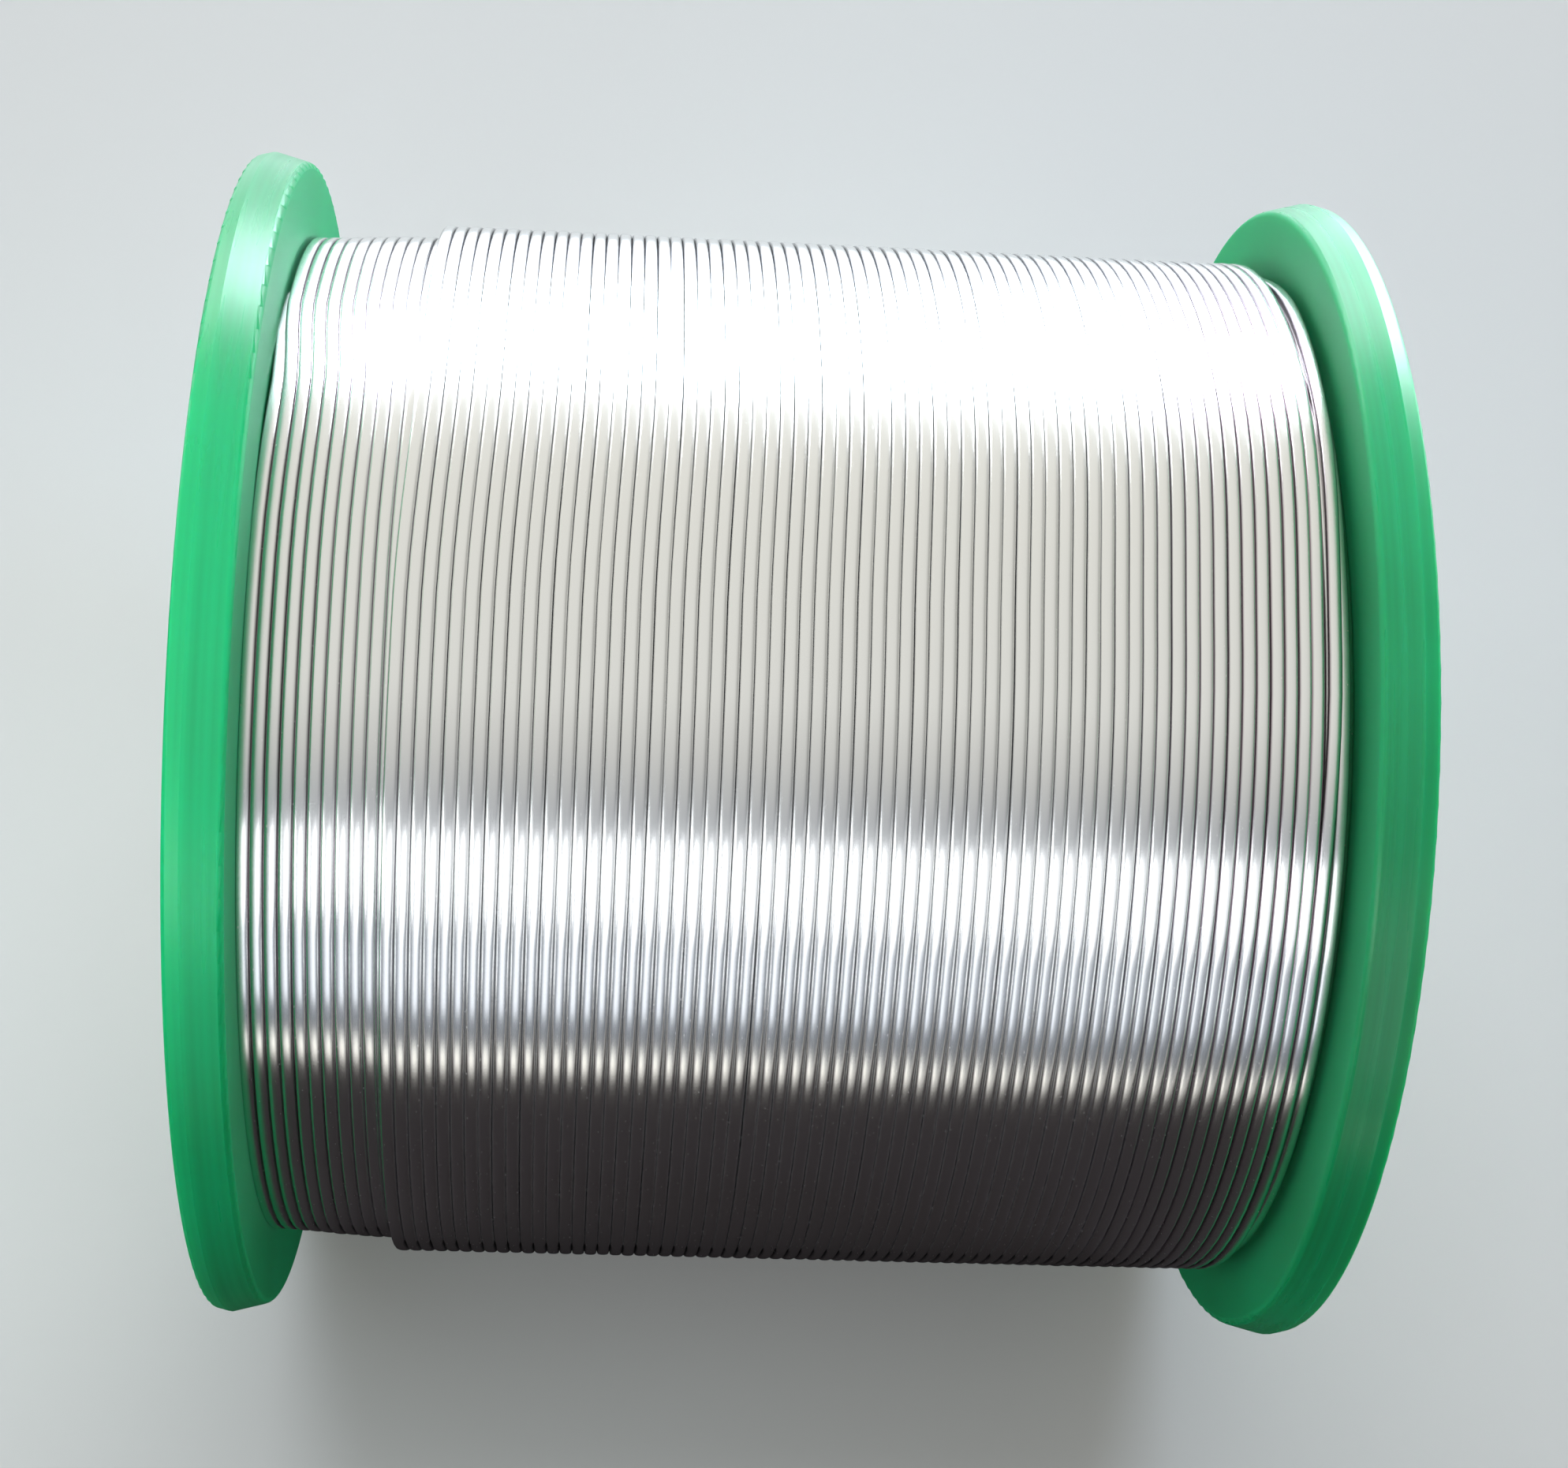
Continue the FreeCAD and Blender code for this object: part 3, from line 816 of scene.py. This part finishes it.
@dataclass
class Winding:
    """The wound wire: the hidden core, the layer that shows at the left, and the last layer, which stops
    short of the left flange.

    Both layers were wound with the height angle falling: the lower one to the right flange, where the wire
    climbs beside it, and the last one back from there.
    """

    axis_height: float
    outer_radius: float
    barrel_radius: float
    face_x: float
    layer_height: float = 0.8 * MM
    upper_pitch: float = 0.8057 * MM
    lower_pitch: float = 0.7865 * MM
    taper: float = 0.35 * MM

    def last_layer(self) -> WireLayer:
        """Describes the last layer, from the wire's free end to the climb beside the right flange."""
        return WireLayer(
            name="last_layer",
            hand=Hand.TOWARDS_RIGHT,
            crossovers=(Crossover(10, 92, 0.22), Crossover(82, 110, 0.62), Crossover(180, 330, 0.16)),
            first_degrees=200,
            last_degrees=360 * 66 + 156,
            known_x=-22.77 * MM,
            known_x_degrees=360 + 70,
            outer_radius=self.outer_radius,
            axis_height=self.axis_height,
            pitch=self.upper_pitch,
            strays=(
                Stray(64, 300, 0, 0), Stray(65, 60, -0.1 * MM, 0), Stray(65, 100, -0.1 * MM, 0),
                Stray(65, 180, 0, 0), Stray(65, 330, 0, 0), Stray(66, 56, -0.12 * MM, 0),
                Stray(66, 80, 0.1 * MM, 0), Stray(66, 110, 0.12 * MM, 0), Stray(66, 126, 0.19 * MM, 0),
                Stray(66, 150, 0.2 * MM, -0.8 * MM), Stray(66, 160, 0.2 * MM, -0.8 * MM),
            ),
        )

    def layer_below(self) -> WireLayer:
        """Describes the layer below, from the climb at the right flange to the one at the left flange."""
        return WireLayer(
            name="layer_below",
            hand=Hand.TOWARDS_LEFT,
            crossovers=(Crossover(88, 106, -0.2), Crossover(107, 123, 0.77), Crossover(190, 330, 0.43)),
            first_degrees=155,
            last_degrees=360 * 79 + 126,
            known_x=30.42 * MM,
            known_x_degrees=360 + 70,
            outer_radius=self.outer_radius - self.layer_height,
            axis_height=self.axis_height,
            pitch=self.lower_pitch,
            strays=(
                Stray(0, 0, -0.34 * MM, 0), Stray(0, 190, -0.34 * MM, 0), Stray(0, 330, 0, 0),
                Stray(2, 78, 0, 0), Stray(2, 90, 0, 0.3 * MM), Stray(2, 104, 0, 0.3 * MM),
                Stray(2, 116, 0, 0), Stray(79, 100, 0, 0), Stray(79, 127, 0.3 * MM, -0.7 * MM),
            ),
            taper=self.taper,
            taper_start=-24 * MM,
            taper_end=-31 * MM,
            steps_per_turn=84,
            seed=2,
        )

    def core(self) -> WoundCore:
        """Describes the hidden layers."""
        return WoundCore(
            name="wound_core",
            axis_height=self.axis_height,
            inner_radius=self.barrel_radius,
            outer_radius=self.outer_radius - 2 * self.layer_height,
            left_x=-self.face_x,
            right_x=self.face_x,
            taper=self.taper,
        )

    def build(self, solder: bpy.types.Material) -> None:
        """Makes the winding's pieces.

        Args:
            solder: The wire's material.
        """
        settle(self.core().build(), "solder_wire", solder, "wire_inner_layers")
        settle(self.layer_below().build(), "solder_wire", solder, "wire_outer_turns")
        settle(self.last_layer().build(), "solder_wire", solder, "wire_outer_turns")


class ShowsIn(Enum):
    """How a lamp shows: only as a reflection in glossy surfaces, or only as plain light."""

    GLOSS = (False, True)
    PLAIN_LIGHT = (True, False)


@dataclass
class Studio:
    """The floor, the lamps, the surroundings and the camera."""

    target: Vector
    elevation: float = math.radians(70)
    floor_width: float = 6.0
    lens_mm: float = 61.865
    sensor_mm: float = 36.0
    camera_side: float = -11.26 * MM
    camera_distance: float = 182.41 * MM
    camera_turns: tuple[float, float, float] = (-0.00602, 0.06704, -0.03688)
    upper_window: tuple[float, float] = (29.8, 50.0)
    low_side_window: tuple[float, float] = (0.5, 11.0)
    # Colour of the dark card, a painted dark reflection under the spool.
    card_colour: str = "#403a3b"
    ceiling: tuple[tuple[float, str], ...] = (
        (0.0, "#565b64"), (0.03, "#767c85"), (0.075, "#99a0ab"), (0.27, "#9fa4ac"), (0.37, "#d0d0ce"),
        (0.45, "#e6e6e2"), (0.8, "#ecebe4"), (0.9, "#f8f8f4"), (1.0, "#e6e8ec"),
    )

    def view_frame(self) -> Matrix:
        """Gives the turned frame of the photograph: x along the spool, y up in the picture, z to the camera."""
        sine, cosine = math.sin(self.elevation), math.cos(self.elevation)
        return Matrix(((1, 0, 0), (0, sine, -cosine), (0, cosine, sine)))

    def add_camera(self) -> None:
        """Adds the camera at the photograph's place and angle."""
        data = bpy.data.cameras.new("camera")
        data.lens = self.lens_mm
        data.sensor_width = self.sensor_mm
        data.sensor_fit = "HORIZONTAL"
        data.clip_start = 1 * MM
        data.clip_end = 20.0
        camera = bpy.data.objects.new("camera", data)
        bpy.context.scene.collection.objects.link(camera)
        frame = self.view_frame()
        pitch, yaw, roll = self.camera_turns
        turn = (
            Matrix.Rotation(roll, 3, "Z") @ Matrix.Rotation(yaw, 3, "Y") @ Matrix.Rotation(pitch, 3, "X")
        )
        axes = frame @ turn.transposed()
        place = self.target + frame @ Vector((self.camera_side, 0, self.camera_distance))
        camera.matrix_world = Matrix.Translation(place) @ axes.to_4x4()
        bpy.context.scene.camera = camera

    def add_floor(self) -> None:
        """Adds the pale floor that the spool lies on."""
        bpy.ops.object.select_all(action="DESELECT")
        bpy.ops.mesh.primitive_plane_add(size=self.floor_width, location=(0, 0, 0))
        floor = bpy.context.object
        floor.name = "floor"
        dress(floor, SeamlessFloor().material())

    def add_dark_card(self, sides: tuple[float, float], depths: tuple[float, float], lift: float) -> None:
        """Adds the dark card that lies under the spool, seen only by glossy rays: a painted dark reflection in the
        metal and the rims.

        Args:
            sides: The x of its two short edges.
            depths: The y of its front and rear edge.
            lift: Its height over the floor.
        """
        bpy.ops.object.select_all(action="DESELECT")
        bpy.ops.mesh.primitive_plane_add(size=1, location=(sum(sides) / 2, sum(depths) / 2, lift))
        card = bpy.context.object
        card.name = "dark_card"
        card.scale = (sides[1] - sides[0], depths[1] - depths[0], 1)
        bpy.ops.object.transform_apply(location=True, rotation=True, scale=True)
        dress(card, MattBoard("dark_card", self.card_colour).material())
        # Painted dark reflection: only glossy rays see the card; it casts no shadow and gives no light.
        card.visible_camera = False
        card.visible_diffuse = False
        card.visible_transmission = False
        card.visible_shadow = False

    def add_lamp(self, name: str, place: Vector, aim: Vector, width: float, height: float, brightness: float,
                 colour: str, reach: ShowsIn) -> None:
        """Adds a soft rectangular lamp.

        Args:
            name: The lamp's name.
            place: Its middle, seen from the middle of the spool.
            aim: The point that it faces, seen from there.
            width: Its size along the spool's axis, or across the aim where it stands beside the spool.
            height: Its other size.
            brightness: Its own brightness, where 1 is white.
            colour: Its colour.
            reach: Which surfaces it reaches.
        """
        data = bpy.data.lights.new(name, "AREA")
        data.shape = "RECTANGLE"
        data.size = width
        data.size_y = height
        data.color = linear(colour)[:3]
        data.energy = brightness * math.pi * width * height
        lamp = bpy.data.objects.new(name, data)
        bpy.context.scene.collection.objects.link(lamp)
        lamp.location = self.target + place
        lamp.rotation_euler = (aim - place).to_track_quat("-Z", "Y").to_euler()
        lamp.visible_camera = False
        lamp.visible_diffuse, lamp.visible_glossy = reach.value

    def add_panel(self, name: str, heights: tuple[float, float], sides: tuple[float, float], distance: float,
                  brightness: float, colour: str, reach: ShowsIn) -> None:
        """Adds a lamp that lies along the spool's axis and faces it.

        Args:
            name: The lamp's name.
            heights: The height angles of its two long edges in degrees, seen from the axis.
            sides: The x of its two short edges.
            distance: Its distance from the axis.
            brightness: Its own brightness, where 1 is white.
            colour: Its colour.
            reach: Which surfaces it reaches.
        """
        middle = math.radians(sum(heights) / 2)
        side = sum(sides) / 2
        place = Vector((side, -distance * math.cos(middle), distance * math.sin(middle)))
        height = 2 * distance * math.tan(math.radians(heights[1] - heights[0]) / 2)
        self.add_lamp(
            name, place, Vector((side, 0, 0)), sides[1] - sides[0], height, brightness, colour, reach
        )

    def add_surroundings(self) -> None:
        """Adds a plain room: a light ceiling, darker towards the front, and a pale backdrop for the camera.

        The ceiling's colour goes by the height angle, from the front over the top to the rear. The room is darker
        at the right for everything, and its plain light is weaker, most at the left.
        """
        world = bpy.data.worlds.new("room")
        bpy.context.scene.world = world
        world.use_nodes = True
        tree = world.node_tree
        tree.nodes.clear()
        direction = add_node(tree, "ShaderNodeTexCoord")
        parts = add_node(tree, "ShaderNodeSeparateXYZ", {"Vector": direction.outputs["Generated"]})
        forward = add_node(tree, "ShaderNodeMath", {0: parts.outputs["Y"], 1: -1.0}, operation="MULTIPLY")
        height = add_node(
            tree, "ShaderNodeMath", {0: parts.outputs["Z"], 1: forward.outputs["Value"]}, operation="ARCTAN2"
        )
        share = add_node(tree, "ShaderNodeMath", {0: height.outputs["Value"], 1: math.pi}, operation="DIVIDE")
        ramp = add_node(tree, "ShaderNodeValToRGB", {"Fac": share.outputs["Value"]})
        set_ramp(ramp, [(place, linear(colour)) for place, colour in self.ceiling])
        inside = add_node(
            tree, "ShaderNodeMapRange",
            {"Value": parts.outputs["X"], "From Min": 0.2, "From Max": 0.9, "To Min": 1.0, "To Max": 0.5},
            interpolation_type="SMOOTHSTEP",
        )
        ray = add_node(tree, "ShaderNodeLightPath")
        beside = add_node(
            tree, "ShaderNodeMapRange",
            {"Value": parts.outputs["X"], "From Min": -0.9, "From Max": 0.0, "To Min": 0.2, "To Max": 0.62},
        )
        plain = add_node(
            tree, "ShaderNodeMix",
            {"Factor": ray.outputs["Is Diffuse Ray"], "A": 1.0, "B": beside.outputs["Result"]},
        )
        strength = add_node(
            tree, "ShaderNodeMath", {0: inside.outputs["Result"], 1: plain.outputs["Result"]}, operation="MULTIPLY"
        )
        light = add_node(
            tree, "ShaderNodeBackground", {"Color": ramp.outputs["Color"], "Strength": strength.outputs["Value"]}
        )
        backdrop = add_node(tree, "ShaderNodeBackground", {"Color": linear(BACKDROP_COLOUR), "Strength": 1.0})
        choice = add_node(
            tree, "ShaderNodeMixShader",
            {0: ray.outputs["Is Camera Ray"], 1: light.outputs["Background"], 2: backdrop.outputs["Background"]},
        )
        output = add_node(tree, "ShaderNodeOutputWorld", {"Surface": choice.outputs["Shader"]})
        output.is_active_output = True

    def add_windows(self) -> None:
        """Adds the windows that the metal and the rims mirror, at the front, low at the sides and at the rear."""
        gloss = ShowsIn.GLOSS
        upper, low = self.upper_window, self.low_side_window
        self.add_panel("rear_window", (155, 179.5), (-0.9, 0.9), 0.9, 5.0, "#f4f8ff", gloss)
        self.add_panel("rear_right_window", (160, 179.5), (0.15, 0.6), 0.9, 38.0, "#dff0ff", gloss)
        self.add_panel("front_left_window", upper, (-2.5, -0.4), 1.0, 2.4, "#fbfdff", gloss)
        self.add_panel("front_window", upper, (-0.108, 0.2), 1.0, 2.6, "#fbfdff", gloss)
        self.add_panel("front_right_window", upper, (0.2, 2.5), 1.0, 0.7, "#fbfdff", gloss)
        self.add_panel("left_low_window", low, (-3.5, -0.92), 1.0, 2.2, "#f4f7fb", gloss)
        self.add_panel("right_low_window", low, (0.92, 3.5), 1.0, 2.2, "#f4f7fb", gloss)
        self.add_panel("low_window", (low[1], upper[0]), (-0.2, 0.12), 1.0, 1.3, "#eef2f8", gloss)
        self.add_panel("window_sill", (-2.1, 3.0), (-0.2, 0.08), 1.0, 1.5, "#f6f5ee", gloss)
        self.add_lamp(
            "rear_glare", Vector((0, 0.842, -0.036)), Vector((0, 0.842, 0)), 1.5, 1.5, 1.1, "#e8f0ff", gloss
        )
        self.add_lamp(
            "rear_right_glare", Vector((0.4, 0.63, -0.035)), Vector((0.4, 0.63, 0)), 0.7, 1.0, 6.0, "#e2f4ff", gloss
        )

    def add_plain_lamps(self) -> None:
        """Adds the lamps for plain light: behind, above, close to the tops of the rims, and far off at both ends."""
        plain = ShowsIn.PLAIN_LIGHT
        self.add_panel("rear_lamp", (134, 159), (-0.4, 0.4), 0.9, 4.7, "#e2efff", plain)
        self.add_panel("top_lamp", (98, 124), (-0.2, 0.2), 0.6, 2.1, "#f6faff", plain)
        self.add_lamp(
            "rim_lamp", Vector((-0.05, -0.03, 0.075)), Vector((-0.09, -0.01, 0)), 0.05, 0.05, 4.4, "#dcf2ff", plain
        )
        self.add_lamp(
            "right_rim_lamp", Vector((0.05, 0.05, 0.08)), Vector((0.036, 0.015, 0)), 0.05, 0.05, 3.4, "#a8d6ff", plain
        )
        self.add_lamp("left_lamp", Vector((-1.0, 0, 0.03)), Vector((0, 0, 0)), 0.1, 0.1, 185.0, "#eef6ff", plain)
        self.add_lamp("right_lamp", Vector((1.0, 0, 0.03)), Vector((0, 0, 0)), 0.1, 0.1, 172.0, "#fbfdff", plain)

    def build(self) -> None:
        """Adds everything round the spool."""
        self.add_camera()
        self.add_floor()
        self.add_surroundings()
        self.add_dark_card((-0.5, 0.5), (-0.6, 0.062), 0.1 * MM)
        self.add_windows()
        self.add_plain_lamps()
        bpy.context.scene.view_settings.view_transform = "Standard"


def main() -> None:
    """Builds the spool's looks in order and reports each piece."""
    logging.basicConfig(level=logging.INFO, format="%(name)s %(message)s")
    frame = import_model()
    nodes = frame["nodes"]
    low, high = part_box("left_flange")
    axis_height = (low.z + high.z) / 2
    coil_low, coil_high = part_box("wire_outer_turns")
    winding_radius = (coil_high.z - coil_low.z) / 2
    barrel_low, barrel_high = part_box("barrel")
    barrel_radius = (barrel_high.z - barrel_low.z) / 2
    face_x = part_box("wire_inner_layers")[1].x
    Studio(target=Vector((0, 0, axis_height))).build()
    plastic = MouldedPolypropylene(face_x=face_x).material()
    solder = DrawnSolder(axis_height=axis_height, wound_radius=winding_radius).material()
    paper = CoatedPaper().material()
    for name in ("left_flange", "right_flange", "barrel"):
        dress(nodes[name], plastic)
    for name in ("left_label", "right_label"):
        dress(nodes[name], paper)
    dress(nodes["wire_start"], solder)
    Winding(
        axis_height=axis_height,
        outer_radius=winding_radius,
        barrel_radius=barrel_radius,
        face_x=face_x,
    ).build(solder)


if __name__ == "__main__":
    main()
